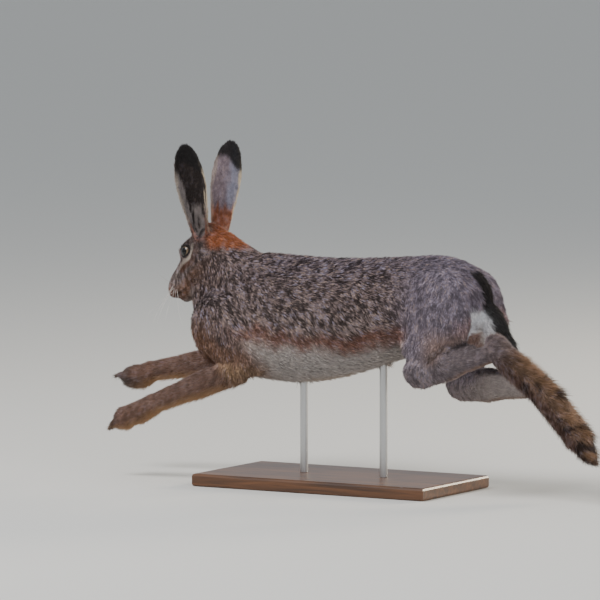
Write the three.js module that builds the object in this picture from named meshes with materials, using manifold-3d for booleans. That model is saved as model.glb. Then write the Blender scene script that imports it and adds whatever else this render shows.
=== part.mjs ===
// A brown hare at full stretch in its leap, life size, held up by a plain display stand.
// Millimetres, +Z up. The hare faces -X and its left side is towards -Y. The origin is the middle of
// the stand's underside, on the floor.

import * as THREE from "three";
import { mergeVertices } from "three/addons/utils/BufferGeometryUtils.js";
import Module from "manifold-3d";

const wasm = await Module();
wasm.setup();

const P = (x, y, z) => new THREE.Vector3(x, y, z);
const DEGREE = Math.PI / 180;

// Clearance between neighbouring parts
const GAP = 0.3;

// The trunk from breast to rump: heights of its top, widest level and bottom, and its half width
const trunkOutline = [
  { x: -206, top: 203, mid: 190, bottom: 176, half: 12 },
  { x: -198, top: 222, mid: 190, bottom: 160, half: 28 },
  { x: -180, top: 250, mid: 194, bottom: 147, half: 41 },
  { x: -145, top: 282, mid: 200, bottom: 137, half: 51 },
  { x: -110, top: 290, mid: 204, bottom: 132, half: 56 },
  { x: -58, top: 289, mid: 206, bottom: 129, half: 58 },
  { x: 0, top: 288, mid: 212, bottom: 137, half: 57 },
  { x: 57, top: 291, mid: 222, bottom: 154, half: 53 },
  { x: 100, top: 294, mid: 230, bottom: 168, half: 51 },
  { x: 141, top: 297, mid: 236, bottom: 180, half: 51 },
  { x: 170, top: 292, mid: 240, bottom: 190, half: 48 },
  { x: 192, top: 281, mid: 240, bottom: 200, half: 40 },
  { x: 206, top: 265, mid: 240, bottom: 213, half: 26 },
  { x: 212, top: 252, mid: 240, bottom: 226, half: 12 },
];
const LOIN_FRONT = -30;
const LOIN_BACK = 78;

// Planes that part the head from the neck, the neck from the chest, the shanks from the thighs and the
// forearms from the chest
const HEAD_CUT = P(-174, 7, 289);
const HEAD_WAY = P(-0.83, 0.17, 0.54).normalize();
const NECK_CUT = P(-160, 0, 240);
const NECK_WAY = P(-0.72, 0, 0.69).normalize();
const THIGH_CREASE = P(0, 0, 15);
const THIGH_SHIFT = P(10, 0, 0);
const CREASE_WAY = P(0.2, 0, -0.98).normalize();
const FOREARM_WAY = P(-0.75, 0, -0.66).normalize();
const ELBOW_REACH = 0.1;
const FAR = 900;

// The head in its own frame: x runs back from the tip of the nose, z is up
const headAt = P(-257, 25, 235);
const HEAD_TURN = 12 * DEGREE;
const HEAD_DROOP = 37 * DEGREE;
const headOutline = [
  { x: 0, top: 6, mid: -2, bottom: -9, half: 7 },
  { x: 4, top: 10, mid: -3, bottom: -14, half: 12 },
  { x: 14, top: 15, mid: -4, bottom: -23, half: 15.5 },
  { x: 30, top: 18, mid: -4, bottom: -31, half: 19 },
  { x: 50, top: 25, mid: -3, bottom: -39, half: 23 },
  { x: 68, top: 32, mid: -1, bottom: -43, half: 27 },
  { x: 86, top: 36, mid: 1, bottom: -42, half: 28 },
  { x: 102, top: 33, mid: 2, bottom: -34, half: 25 },
  { x: 112, top: 20, mid: 2, bottom: -20, half: 13 },
];
const eye = { at: P(64.5, 18.5, 16), radius: 8.5 };
const lid = { across: 8.6, height: 6.2, slant: 0.12, wide: 2, proud: 1.5 };
const nose = { at: P(0.6, 4.6, 1.2), hole: P(3.6, 1.4, 1.9), tilt: 0.5, turn: 0.7 };
const mouth = { radius: 1.2, cleft: 0.9 };

// Ears: their roots in the head's frame, and where each tip reaches and its cup opens
const ear = { rootBack: 98, rootSide: 19, rootUp: 25, sunk: 10, thick: 3, edgeThick: 1.5, hollow: 7 };
const earOutline = [
  { t: 0, half: 11, fold: 155 },
  { t: 0.15, half: 12.5, fold: 130 },
  { t: 0.3, half: 15, fold: 100 },
  { t: 0.5, half: 18.5, fold: 76 },
  { t: 0.68, half: 19, fold: 64 },
  { t: 0.82, half: 16, fold: 54 },
  { t: 0.93, half: 12, fold: 46 },
  { t: 1, half: 4.5, fold: 40 },
];
const earPoses = {
  left: { tip: P(-214, -22, 421), opens: P(0.45, -0.89, 0) },
  right: { tip: P(-184, 44, 424), opens: P(-0.6, 0.8, 0) },
};

// Limb joints, left limbs on the -Y side, as the stretched pose holds them
const hindJoints = {
  left: { hip: P(164, -41, 244), knee: P(143, -52, 158), hock: P(249, -50, 187), ball: P(319, -47, 131) },
  right: { hip: P(163, 41, 241), knee: P(147, 50, 134), hock: P(256, 46, 133), ball: P(311, 43, 75) },
};
const hindToes = { left: P(345, -46, 104), right: P(330, 42, 47) };
const foreJoints = {
  left: {
    shoulder: P(-160, -40, 205),
    elbow: P(-122, -43, 146),
    wrist: P(-243, -40, 98),
    ball: P(-290, -39, 76),
  },
  right: {
    shoulder: P(-165, 38, 200),
    elbow: P(-172, 39, 152),
    wrist: P(-294, 36, 129),
    ball: P(-322, 35, 120),
  },
};
const foreToes = { left: P(-310, -39, 64), right: P(-344, 34, 122) };

// Tail, from its root down between the haunches
const tail = { root: P(193, 0, 258), middle: P(211, 0, 216), tip: P(243, 0, 189) };
const hams = { left: P(213, -45, 202), right: P(209, 45, 196) };

// Toes and their claws: how far apart they stand, how thick they are and how far each reaches
const hindToe = { apart: 6.2, radius: 5.2, reach: [0.82, 1, 0.98, 0.84], claw: 10 };
const foreToe = { apart: 5, radius: 4.4, reach: [0.84, 1, 0.97, 0.82], claw: 8 };

// Display stand
const stand = { length: 330, width: 170, height: 16, bevel: 3, rod: 5, sunk: 10 };
const rodPlaces = { front: -52, rear: 62 };

const fur = { coat: 0x8a7460, belly: 0xcfc6bc, leg: 0x9a7358, ear: 0x7a6a60, tail: 0x2c2524 };

// A smooth curve through the rows of a table, read at x
function readTable(rows, key, name, x) {
  const last = rows.length - 1;
  const at = THREE.MathUtils.clamp(x, rows[0][key], rows[last][key]);
  let i = 0;
  while (i < last - 1 && rows[i + 1][key] < at) i += 1;
  const slope = (j) => {
    const a = rows[Math.max(0, j - 1)];
    const b = rows[Math.min(last, j + 1)];
    return (b[name] - a[name]) / (b[key] - a[key]);
  };
  const span = rows[i + 1][key] - rows[i][key];
  const t = (at - rows[i][key]) / span;
  const bend = t * t * (3 - 2 * t);
  const lean = span * (slope(i) * t * (1 - t) ** 2 - slope(i + 1) * t * t * (1 - t));
  return rows[i][name] * (1 - bend) + rows[i + 1][name] * bend + lean;
}

// Distance from a point to a body given by its outline, negative inside
function outlineField(rows) {
  return (p) => {
    const read = (name) => readTable(rows, "x", name, p.x);
    const mid = read("mid");
    const dz = p.z - mid;
    const height = dz > 0 ? read("top") - mid : mid - read("bottom");
    const share = Math.hypot(p.y / read("half"), dz / height);
    const far = Math.hypot(p.y, dz);
    const across = share < 1e-6 ? -height : far * (1 - 1 / share);
    const beyond = Math.max(rows[0].x - p.x, p.x - rows[rows.length - 1].x, 0);
    return beyond > 0 ? Math.hypot(beyond, Math.max(across, 0)) : across;
  };
}

// Distance to a tapering rod of flesh from a to b, `wide` times as wide sideways as it is thick
function taper(a, b, ra, rb, wide = 1, side = P(0, 1, 0)) {
  const run = b.clone().sub(a);
  const length2 = Math.max(run.lengthSq(), 1e-9);
  return (p) => {
    const t = THREE.MathUtils.clamp(p.clone().sub(a).dot(run) / length2, 0, 1);
    const off = p.clone().sub(a).addScaledVector(run, -t);
    const far = off.length();
    const lateral = off.dot(side);
    const even = Math.sqrt(Math.max(far * far - lateral * lateral, 0) + (lateral / wide) ** 2);
    const radius = ra + (rb - ra) * t;
    return even < 1e-6 ? -radius : far * (1 - radius / even);
  };
}

// Distance to an egg of flesh
function egg(at, radii) {
  return (p) => {
    const off = p.clone().sub(at);
    const share = off.clone().divide(radii).length();
    return share < 1e-6 ? -Math.min(radii.x, radii.y, radii.z) : off.length() * (1 - 1 / share);
  };
}

// Several forms run together, with their creases filled over a width of `blend`
function together(forms, blend) {
  return (p) =>
    forms
      .map((form) => form(p))
      .reduce((a, b) => {
        const overlap = Math.max(blend - Math.abs(a - b), 0) / blend;
        return Math.min(a, b) - (overlap * overlap * blend) / 4;
      });
}

// How far a ray runs from `from` before it leaves the flesh
function wayOut(field, from, direction, reach = 160) {
  const depth = (t) => field(from.clone().addScaledVector(direction, t));
  let inside = 0;
  let t = 0;
  while (t < reach) {
    const d = depth(t);
    if (d >= 0) break;
    inside = t;
    t += THREE.MathUtils.clamp(-0.7 * d, 0.4, 6);
  }
  let outside = t;
  for (let i = 0; i < 12; i += 1) {
    const half = (inside + outside) / 2;
    if (depth(half) < 0) inside = half;
    else outside = half;
  }
  return Math.max(inside, 0.2);
}

// Stations between 0 and 1, closer together towards the two round ends
function stations(count) {
  return Array.from({ length: count }, (_, i) => {
    const turn = Math.PI * ((i + 0.7) / (count + 0.4) - 0.5);
    return (1 + Math.sin(turn)) / 2;
  });
}

// Wraps flesh in rings round the line through `points`, closed at each end in a pole
function wrap(field, points, { rings, around, grow = 0 }) {
  const line = new THREE.CatmullRomCurve3(points);
  const flesh = (p) => field(p) - grow;
  const firstWay = line.getTangentAt(0);
  const lastWay = line.getTangentAt(1);
  const first = line.getPointAt(0);
  const last = line.getPointAt(1);
  const poles = [
    first.addScaledVector(firstWay, -wayOut(flesh, first, firstWay.clone().negate())),
    last.addScaledVector(lastWay, wayOut(flesh, last, lastWay)),
  ];
  const whole = new THREE.CatmullRomCurve3([poles[0], ...points.slice(1, -1), poles[1]]);
  const middle = points.length > 2 ? whole : new THREE.LineCurve3(poles[0], poles[1]);
  const positions = [];
  for (const t of stations(rings)) {
    const at = middle.getPointAt(t);
    const along = middle.getTangentAt(t);
    const side = P(0, 1, 0).addScaledVector(along, -along.y).normalize();
    const up = side.clone().cross(along);
    for (let k = 0; k < around; k += 1) {
      const angle = (k / around) * 2 * Math.PI;
      const out = side.clone().multiplyScalar(Math.cos(angle)).addScaledVector(up, Math.sin(angle));
      positions.push(at.clone().addScaledVector(out, wayOut(flesh, at, out)));
    }
  }
  return closedRings(positions, rings, around, poles);
}

// A closed surface through rings of points, with a fan to a pole at each end, as a solid
function closedRings(points, rings, around, poles) {
  const at = (i, k) => i * around + (k % around);
  const faces = [];
  for (let i = 0; i + 1 < rings; i += 1)
    for (let k = 0; k < around; k += 1) {
      faces.push(at(i, k), at(i + 1, k), at(i + 1, k + 1));
      faces.push(at(i, k), at(i + 1, k + 1), at(i, k + 1));
    }
  const start = points.length;
  for (let k = 0; k < around; k += 1) {
    faces.push(start, at(0, k), at(0, k + 1));
    faces.push(start + 1, at(rings - 1, k + 1), at(rings - 1, k));
  }
  const corners = [...points, ...poles].flatMap((p) => [p.x, p.y, p.z]);
  return solidFrom(corners, faces);
}

function solidFrom(corners, faces) {
  const build = (triVerts) => {
    const mesh = new wasm.Mesh({ numProp: 3, vertProperties: new Float32Array(corners), triVerts });
    return new wasm.Manifold(mesh);
  };
  const solid = build(new Uint32Array(faces));
  return solid.volume() > 0 ? solid : build(new Uint32Array([...faces].reverse()));
}

// A three.js geometry as a solid
function solidOf(geometry) {
  const plain = geometry.clone();
  plain.deleteAttribute("normal");
  plain.deleteAttribute("uv");
  const merged = mergeVertices(plain, 1e-4);
  return solidFrom(merged.attributes.position.array, merged.index.array);
}

// The largest closed body of a solid
function largest(solid) {
  return solid.decompose().sort((a, b) => b.volume() - a.volume())[0];
}

function box(low, high) {
  const size = high.clone().sub(low);
  const middle = low.clone().add(high).multiplyScalar(0.5);
  return solidOf(new THREE.BoxGeometry(size.x, size.y, size.z).translate(middle.x, middle.y, middle.z));
}

const toHead = new THREE.Matrix4()
  .makeTranslation(headAt.x, headAt.y, headAt.z)
  .multiply(new THREE.Matrix4().makeRotationZ(-HEAD_TURN))
  .multiply(new THREE.Matrix4().makeRotationY(-HEAD_DROOP));
const fromHead = (x, y, z) => P(x, y, z).applyMatrix4(toHead);
const sides = { left: -1, right: 1 };

function headForms() {
  const forms = [outlineField(headOutline)];
  for (const s of [-1, 1]) {
    forms.push(egg(P(70, s * 17, -16), P(27, 13, 22)));
    forms.push(egg(P(64, s * 16, 22), P(16, 8, 7)));
    forms.push(egg(P(12, s * 8, -7), P(14, 9, 10)));
  }
  forms.push(egg(P(18, 0, -22), P(12, 9, 6)));
  return together(forms, 7);
}

// The whole head, in its own frame, `grow` larger all round
function headLoft(grow) {
  return wrap(headForms(), [P(10, 0, -4), P(95, 0, -5)], { rings: 24, around: 32, grow });
}

// Lids: a low almond ring that lies on each eyeball
function lidRing(s) {
  const round = 0.22;
  const ring = new THREE.TorusGeometry(1, round, 6, 22);
  const corners = ring.attributes.position;
  for (let i = 0; i < corners.count; i += 1) {
    const angle = Math.atan2(corners.getY(i), corners.getX(i));
    const beyond = Math.hypot(corners.getX(i), corners.getY(i)) - 1;
    const across = lid.across * Math.cos(angle);
    const height = lid.height * Math.sin(angle) + lid.slant * across;
    const off = Math.hypot(across, height);
    const shell = Math.sqrt(eye.radius ** 2 - Math.min(off, eye.radius * 0.85) ** 2);
    const spread = 1 + ((beyond / round) * lid.wide) / off;
    const proud = (corners.getZ(i) / round) * lid.proud;
    corners.setXYZ(i, across * spread, s * (shell + proud), height * spread);
  }
  return solidOf(ring.translate(eye.at.x, s * eye.at.y, eye.at.z));
}

function eyeBall(s, grow) {
  const ball = new THREE.SphereGeometry(eye.radius + grow, 16, 10);
  return solidOf(ball.translate(eye.at.x, s * eye.at.y, eye.at.z));
}

// A round groove along a curve
function groove(points, radius, steps) {
  const section = new THREE.Shape().absarc(0, 0, radius, 0, 2 * Math.PI);
  const extrudePath = new THREE.CatmullRomCurve3(points);
  const settings = { steps, extrudePath, bevelEnabled: false, curveSegments: 3 };
  return solidOf(new THREE.ExtrudeGeometry(section, settings));
}

// The line of the mouth, from cheek to cheek under the whisker pads, and the cleft of the upper lip
function mouthLine() {
  const cheek = [P(27, 15.5, -18.5), P(14, 13.5, -15.8), P(5, 9.2, -13), P(0.3, 4, -10.5)];
  const otherCheek = cheek.map((p) => P(p.x, -p.y, p.z)).reverse();
  const lips = groove([...cheek, P(0, 0, -9), ...otherCheek], mouth.radius, 20);
  return lips.add(groove([P(-0.8, 0, -1), P(0, 0, -9)], mouth.cleft, 2));
}

function nostril(s) {
  const hole = new THREE.SphereGeometry(1, 10, 8).scale(nose.hole.x, nose.hole.y, nose.hole.z);
  hole.rotateY(nose.tilt).rotateZ(s * nose.turn);
  return solidOf(hole.translate(nose.at.x, s * nose.at.y, nose.at.z));
}

// An ear: a cup of skin folded round its axis at the root and opening to a leaf. `opens` is where the
// cup faces.
function earSolid(side) {
  const s = sides[side];
  const pose = earPoses[side];
  const root = fromHead(ear.rootBack, s * ear.rootSide, ear.rootUp);
  const axis = pose.tip.clone().sub(root);
  const length = axis.length();
  axis.normalize();
  const opens = pose.opens.clone().addScaledVector(axis, -pose.opens.dot(axis)).normalize();
  const across = axis.clone().cross(opens);
  const ringCount = 13;
  const arc = 9;
  const points = [];
  for (let i = 0; i < ringCount; i += 1) {
    const t = Math.sin((Math.PI / 2) * (i / (ringCount - 1))) ** 0.8;
    const half = readTable(earOutline, "t", "half", t);
    const fold = readTable(earOutline, "t", "fold", t) * DEGREE;
    const radius = half / Math.sin(Math.min(fold, Math.PI / 2));
    const place = root.clone().addScaledVector(axis, -ear.sunk + t * (length + ear.sunk));
    const put = (r, angle) =>
      place
        .clone()
        .addScaledVector(opens, radius - ear.hollow - r * Math.cos(angle))
        .addScaledVector(across, r * Math.sin(angle));
    for (let k = 0; k < arc; k += 1) points.push(put(radius, fold * ((2 * k) / (arc - 1) - 1)));
    for (let k = arc - 1; k >= 0; k -= 1) {
      const share = (2 * k) / (arc - 1) - 1;
      const thick = ear.edgeThick + (ear.thick - ear.edgeThick) * (1 - share * share);
      points.push(put(radius - thick, fold * share));
    }
  }
  return crescentRings(points, ringCount, 2 * arc);
}

// Rings whose section is a crescent, closed at each end by a strip between its two edges
function crescentRings(points, rings, around) {
  const at = (i, k) => i * around + (k % around);
  const faces = [];
  for (let i = 0; i + 1 < rings; i += 1)
    for (let k = 0; k < around; k += 1) {
      faces.push(at(i, k), at(i + 1, k), at(i + 1, k + 1));
      faces.push(at(i, k), at(i + 1, k + 1), at(i, k + 1));
    }
  for (let k = 0; k + 1 < around / 2; k += 1) {
    const other = around - 1 - k;
    faces.push(at(0, k), at(0, k + 1), at(0, other));
    faces.push(at(0, k + 1), at(0, other - 1), at(0, other));
    faces.push(at(rings - 1, k), at(rings - 1, other), at(rings - 1, k + 1));
    faces.push(at(rings - 1, k + 1), at(rings - 1, other), at(rings - 1, other - 1));
  }
  return solidFrom(points.flatMap((p) => [p.x, p.y, p.z]), faces);
}

function neckForms() {
  return together(
    [
      taper(P(-128, 2, 236), fromHead(86, 0, -2), 51, 33),
      taper(fromHead(50, 0, -22), P(-172, 2, 204), 22, 35),
    ],
    24,
  );
}

function neckLoft(grow) {
  const points = [P(-134, 2, 232), P(-172, 6, 262), fromHead(80, 0, -4)];
  return wrap(neckForms(), points, { rings: 10, around: 24, grow });
}

function trunkLoft() {
  const points = [P(-170, 0, 195), P(-20, 0, 212), P(170, 0, 242)];
  const forms = [outlineField(trunkOutline)];
  for (const side of Object.keys(sides)) forms.push(thighForm(side), hamForm(side), armForm(side));
  return wrap(together(forms, 22), points, { rings: 30, around: 32 });
}

function tailLoft(grow) {
  const form = together(
    [taper(tail.root, tail.middle, 12, 18, 0.95), taper(tail.middle, tail.tip, 18, 6, 0.95)],
    8,
  );
  return wrap(form, [tail.root, tail.middle, tail.tip], { rings: 9, around: 14, grow });
}

const thighForm = (side) => taper(hindJoints[side].hip, hindJoints[side].knee, 36, 25, 0.66);
const hamForm = (side) => taper(hindJoints[side].hip.clone().add(P(8, 0, -6)), hams[side], 31, 17, 0.7);
const armForm = (side) => taper(foreJoints[side].shoulder, foreJoints[side].elbow, 30, 20, 0.62);

// One hind leg's thigh, shank and foot
function hindLofts(side) {
  const j = hindJoints[side];
  const heel = j.hock.clone().add(P(-4, 0, 8));
  const size = { rings: 10, around: 16 };
  const calf = j.knee.clone().lerp(j.hock, 0.3);
  const shank = together([taper(j.knee, calf, 24, 21, 0.7), taper(calf, j.hock, 20, 12, 0.8)], 10);
  const foot = together(
    [
      taper(heel, j.hock, 12, 15, 1),
      taper(j.hock, j.ball, 15, 13.5, 1.1),
      taper(j.ball, j.ball.clone().lerp(hindToes[side], 0.3), 13, 9.5, 1.25),
    ],
    8,
  );
  const toeLine = j.ball.clone().lerp(hindToes[side], 0.4);
  return {
    shank: (grow) => wrap(shank, [j.knee, j.hock], { ...size, grow }),
    foot: (grow) => wrap(foot, [heel, j.hock, j.ball, toeLine], { rings: 11, around: 14, grow }),
  };
}

// One foreleg's upper arm, forearm and paw
function foreLofts(side) {
  const j = foreJoints[side];
  const size = { rings: 9, around: 14 };
  const thinning = j.elbow.clone().lerp(j.wrist, 0.4);
  const pad = j.wrist.clone().lerp(j.ball, 0.5).add(P(0, 0, -7));
  const forearm = together(
    [taper(j.elbow, thinning, 19, 15, 0.85), taper(thinning, j.wrist, 15, 12, 0.9)],
    10,
  );
  const paw = together(
    [
      taper(j.wrist, j.ball, 11.5, 13, 1.1),
      taper(j.ball, j.ball.clone().lerp(foreToes[side], 0.3), 12, 8.5, 1.25),
      taper(j.wrist, pad, 9, 9, 1.1),
    ],
    8,
  );
  const toeLine = j.ball.clone().lerp(foreToes[side], 0.4);
  return {
    forearm: (grow) => wrap(forearm, [j.elbow, j.wrist], { ...size, grow }),
    paw: (grow) => wrap(paw, [j.wrist, j.ball, toeLine], { rings: 9, around: 14, grow }),
  };
}

// A paw with its four toes and their claws, which curve towards the sole
function withToes(paw, ball, tip, { apart, radius, reach, claw }) {
  const way = tip.clone().sub(ball).normalize();
  const length = tip.distanceTo(ball);
  const palm = way.clone().cross(P(0, 1, 0)).normalize();
  const shape = new THREE.CylinderGeometry(0.4, 1.7, claw, 5);
  const turn = new THREE.Quaternion();
  let whole = paw;
  reach.forEach((share, i) => {
    const aside = (i - 1.5) * apart;
    const root = ball.clone().add(P(0, aside * 0.75, 0));
    const end = ball.clone().addScaledVector(way, length * share - radius).add(P(0, aside * 1.15, 0));
    const toe = wrap(taper(root, end, radius + 1.5, radius), [root, end], { rings: 6, around: 8 });
    const clawWay = end.clone().sub(root).normalize().addScaledVector(palm, 0.5).normalize();
    turn.setFromUnitVectors(P(0, 1, 0), clawWay);
    const at = end.clone().addScaledVector(way, radius * 0.6).addScaledVector(clawWay, claw * 0.3);
    const nail = solidOf(shape.clone().applyQuaternion(turn).translate(at.x, at.y, at.z));
    whole = whole.add(toe).add(nail);
  });
  return whole;
}

// Where a forearm leaves the chest
function elbowCut(side) {
  const { elbow, wrist } = foreJoints[side];
  return elbow.clone().lerp(wrist, ELBOW_REACH);
}

function rodSolid(x, grow) {
  const top = readTable(trunkOutline, "x", "bottom", x) + stand.sunk + grow;
  const height = top - stand.height - GAP;
  const rod = new THREE.CylinderGeometry(stand.rod + grow, stand.rod + grow, height, 16);
  return solidOf(rod.rotateX(Math.PI / 2).translate(x, 0, stand.height + GAP + height / 2));
}

function baseSolid() {
  const { length, width, height, bevel } = stand;
  const outline = new THREE.Shape();
  const [a, b] = [length / 2 - bevel, width / 2 - bevel];
  outline.moveTo(-a, -b).lineTo(a, -b).lineTo(a, b).lineTo(-a, b).closePath();
  const slab = new THREE.ExtrudeGeometry(outline, {
    depth: height - 2 * bevel, bevelSize: bevel, bevelThickness: bevel, bevelSegments: 2, steps: 1,
  });
  return solidOf(slab.translate(0, 0, bevel));
}

const solids = {};
const finish = {};
function add(name, solid, colour, roughness = 0.9) {
  solids[name] = largest(solid);
  finish[name] = { color: colour, roughness, metalness: 0 };
}

// Everything on the far side of a plane through `at`, on the side that `normal` points to
function beyond(at, normal) {
  const block = new THREE.BoxGeometry(FAR, FAR, FAR).translate(0, 0, FAR / 2);
  const turn = new THREE.Quaternion().setFromUnitVectors(P(0, 0, 1), normal.clone().normalize());
  return solidOf(block.applyQuaternion(turn).translate(at.x, at.y, at.z));
}

// Both sides of a cut: the part beyond the plane and the rest, half a gap back from it each
function cutInTwo(solid, at, normal) {
  const way = normal.clone().normalize();
  const outer = beyond(at.clone().addScaledVector(way, GAP / 2), way);
  const inner = beyond(at.clone().addScaledVector(way, -GAP / 2), way.clone().negate());
  return [solid.intersect(outer), solid.intersect(inner)];
}

// An oval block through the flesh of one side, round the line from a to b and `reach` past its ends,
// from `depth` off the middle line outwards
function limbBlock(s, { a, b, halfWidth, reach, depth }, grow) {
  const run = b.clone().sub(a);
  const halfLength = Math.hypot(run.x, run.z) / 2 + reach + grow;
  const block = new THREE.CylinderGeometry(1, 1, FAR, 28).scale(halfLength, 1, halfWidth + grow);
  block.translate(0, (FAR / 2 + depth - grow) * s, 0).rotateY(Math.atan2(-run.z, run.x));
  return solidOf(block.translate((a.x + b.x) / 2, 0, (a.z + b.z) / 2));
}

// What the shank takes the place of: the flesh beyond the crease behind the thigh
function kneeRoom(side, crease) {
  const { knee, hock } = hindJoints[side];
  const block = limbBlock(sides[side], { a: knee, b: hock, halfWidth: 40, reach: 40, depth: 16 }, 0);
  return cutInTwo(block, crease.clone().addScaledVector(CREASE_WAY, -GAP), CREASE_WAY)[0];
}

// Head, ears and eyes
const placeInHead = (solid) => solid.transform(toHead.elements);
const headAndNeck = (grow) => placeInHead(headLoft(grow)).add(neckLoft(grow));
let faceAndNeck = headAndNeck(0);
for (const [side, s] of Object.entries(sides)) {
  faceAndNeck = faceAndNeck.add(placeInHead(lidRing(s)));
  faceAndNeck = faceAndNeck.subtract(placeInHead(eyeBall(s, GAP).add(nostril(s))));
  add("eye_" + side, placeInHead(eyeBall(s, 0)), 0x4a2a10, 0.1);
  add("ear_" + side, earSolid(side).subtract(headAndNeck(GAP)), fur.ear);
}
const [head, nape] = cutInTwo(faceAndNeck.subtract(placeInHead(mouthLine())), HEAD_CUT, HEAD_WAY);
const headReach = cutInTwo(headAndNeck(GAP), HEAD_CUT.clone().addScaledVector(HEAD_WAY, -GAP), HEAD_WAY)[0];
add("head", head, fur.coat);

// Trunk and neck run together with the roots of the limbs, then parted into its regions
let flesh = trunkLoft().add(nape).subtract(headReach);
for (const side of Object.keys(sides)) {
  const hind = hindLofts(side);
  const fore = foreLofts(side);
  const crease = hindJoints[side].knee.clone().add(THIGH_CREASE);
  const [shank, thigh] = cutInTwo(hind.shank(0), crease, CREASE_WAY);
  const reach = elbowCut(side);
  const [forearm, elbow] = cutInTwo(fore.forearm(0), reach, FOREARM_WAY);
  flesh = flesh.add(thigh).add(elbow);
  const reachBehind = reach.clone().addScaledVector(FOREARM_WAY, -GAP);
  flesh = flesh.subtract(kneeRoom(side, crease));
  flesh = flesh.subtract(cutInTwo(hind.shank(GAP), crease, CREASE_WAY)[0]);
  flesh = flesh.subtract(cutInTwo(fore.forearm(GAP), reachBehind, FOREARM_WAY)[0]);
  flesh = flesh.subtract(hind.foot(GAP));
  add("shank_" + side, shank.subtract(hind.foot(GAP)), fur.leg);
  add("hind_foot_" + side, withToes(hind.foot(0), hindJoints[side].ball, hindToes[side], hindToe), fur.leg);
  add("forearm_" + side, forearm.subtract(fore.paw(GAP)), fur.leg);
  add("forepaw_" + side, withToes(fore.paw(0), foreJoints[side].ball, foreToes[side], foreToe), fur.leg);
}
flesh = flesh.subtract(tailLoft(GAP));
for (const [name, x] of Object.entries(rodPlaces)) {
  add("stand_rod_" + name, rodSolid(x, 0), 0xb8b8b8, 0.3);
  flesh = flesh.subtract(rodSolid(x, GAP));
}
for (const [side, s] of Object.entries(sides)) {
  const { shoulder, elbow } = foreJoints[side];
  const hip = hindJoints[side].hip.clone().add(THIGH_SHIFT);
  const knee = hindJoints[side].knee.clone().add(THIGH_SHIFT);
  const armPart = { a: shoulder, b: elbow, halfWidth: 33, reach: 30, depth: 19 };
  const thighPart = { a: hip, b: knee, halfWidth: 52, reach: 42, depth: 16 };
  const arm = (grow) => limbBlock(s, armPart, grow);
  const thigh = (grow) => limbBlock(s, thighPart, grow);
  add("upper_arm_" + side, flesh.intersect(arm(0)), fur.coat);
  add("thigh_" + side, flesh.intersect(thigh(0)), fur.coat);
  flesh = flesh.subtract(arm(GAP)).subtract(thigh(GAP));
}
const [neck, body] = cutInTwo(flesh, NECK_CUT, NECK_WAY);
const [chest, back] = cutInTwo(body, P(LOIN_FRONT, 0, 0), P(-1, 0, 0));
const [loin, rump] = cutInTwo(back, P(LOIN_BACK, 0, 0), P(-1, 0, 0));
add("neck", neck, fur.coat);
add("chest", chest, fur.coat);
add("loin", loin, fur.coat);
add("rump", rump, fur.coat);
add("tail", tailLoft(0), fur.tail);
add("stand_base", baseSolid(), 0x5a3a22, 0.5);

const hare = new THREE.Group();
for (const [name, solid] of Object.entries(solids)) {
  const { vertProperties, triVerts, numProp } = solid.getMesh();
  const corners = new THREE.BufferAttribute(new Float32Array(vertProperties), numProp);
  const geometry = new THREE.BufferGeometry().setAttribute("position", corners);
  geometry.setIndex(new THREE.BufferAttribute(new Uint32Array(triVerts), 1));
  geometry.computeVertexNormals();
  const mesh = new THREE.Mesh(geometry, new THREE.MeshStandardMaterial(finish[name]));
  mesh.name = name;
  hare.add(mesh);
}

export default hare;
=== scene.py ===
import math

import bmesh
import bpy
import numpy as np
from mathutils import Matrix, Vector


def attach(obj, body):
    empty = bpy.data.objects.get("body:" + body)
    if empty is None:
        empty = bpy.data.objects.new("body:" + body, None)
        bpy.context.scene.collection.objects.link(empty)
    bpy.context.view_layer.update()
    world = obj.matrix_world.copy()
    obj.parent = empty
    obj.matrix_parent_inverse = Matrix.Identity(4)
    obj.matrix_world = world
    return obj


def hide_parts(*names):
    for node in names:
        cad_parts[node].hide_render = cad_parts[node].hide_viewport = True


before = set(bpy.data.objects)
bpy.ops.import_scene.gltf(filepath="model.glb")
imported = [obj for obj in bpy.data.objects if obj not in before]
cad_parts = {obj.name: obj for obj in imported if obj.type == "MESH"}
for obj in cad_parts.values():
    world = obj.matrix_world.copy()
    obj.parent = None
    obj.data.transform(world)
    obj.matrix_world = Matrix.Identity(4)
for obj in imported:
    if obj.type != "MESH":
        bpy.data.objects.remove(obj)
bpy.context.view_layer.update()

MM = 0.001
SEED = 41
BODY = "root"
TINY = 1e-6

# The skin: how far it stands off the flesh, how fine it is, how it is smoothed and how dark it is
FLESH_GROWTH = 0.5 * MM
SKIN_VOXEL = 2.3 * MM
SMOOTHING = 30
SPLIT_SMOOTHING = 3
PULL_IN = 0.62
PUSH_OUT = -0.64
EAR_HOLD = 0.8
HEAD_HOLD = 0.4
SKIN_SHADE = 0.8

# The skin's map: how sharply it bends within one island, and the gap between islands
ISLAND_ANGLE = math.radians(66)
ISLAND_GAP = 0.004

# The coat: the size of a tuft's patch on the map, how much tufts differ in length and width, how deep a root
# sits, how far a heading strays, how flat a tuft is, how dark its root is, and how a quick coat is thinned
TRIANGLES_A_PIECE = 190000
UV_PATCH = 0.003
LENGTHS = (0.65, 1.25)
WIDTHS = (0.7, 1.3)
ROOT_DEPTH = 0.4 * MM
STRAYING = 0.16
FLATNESS = 0.55
ROOT_SHADE = 0.5

# How the hairs lie: how far they hang on the flanks, and how far broad waves and small curls turn them
HANG = 0.75
WAVE_SIZE = 15 * MM
WAVE_TURN = 0.35
CURL_SIZE = 6 * MM
CURL_TURN = 0.55

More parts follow.
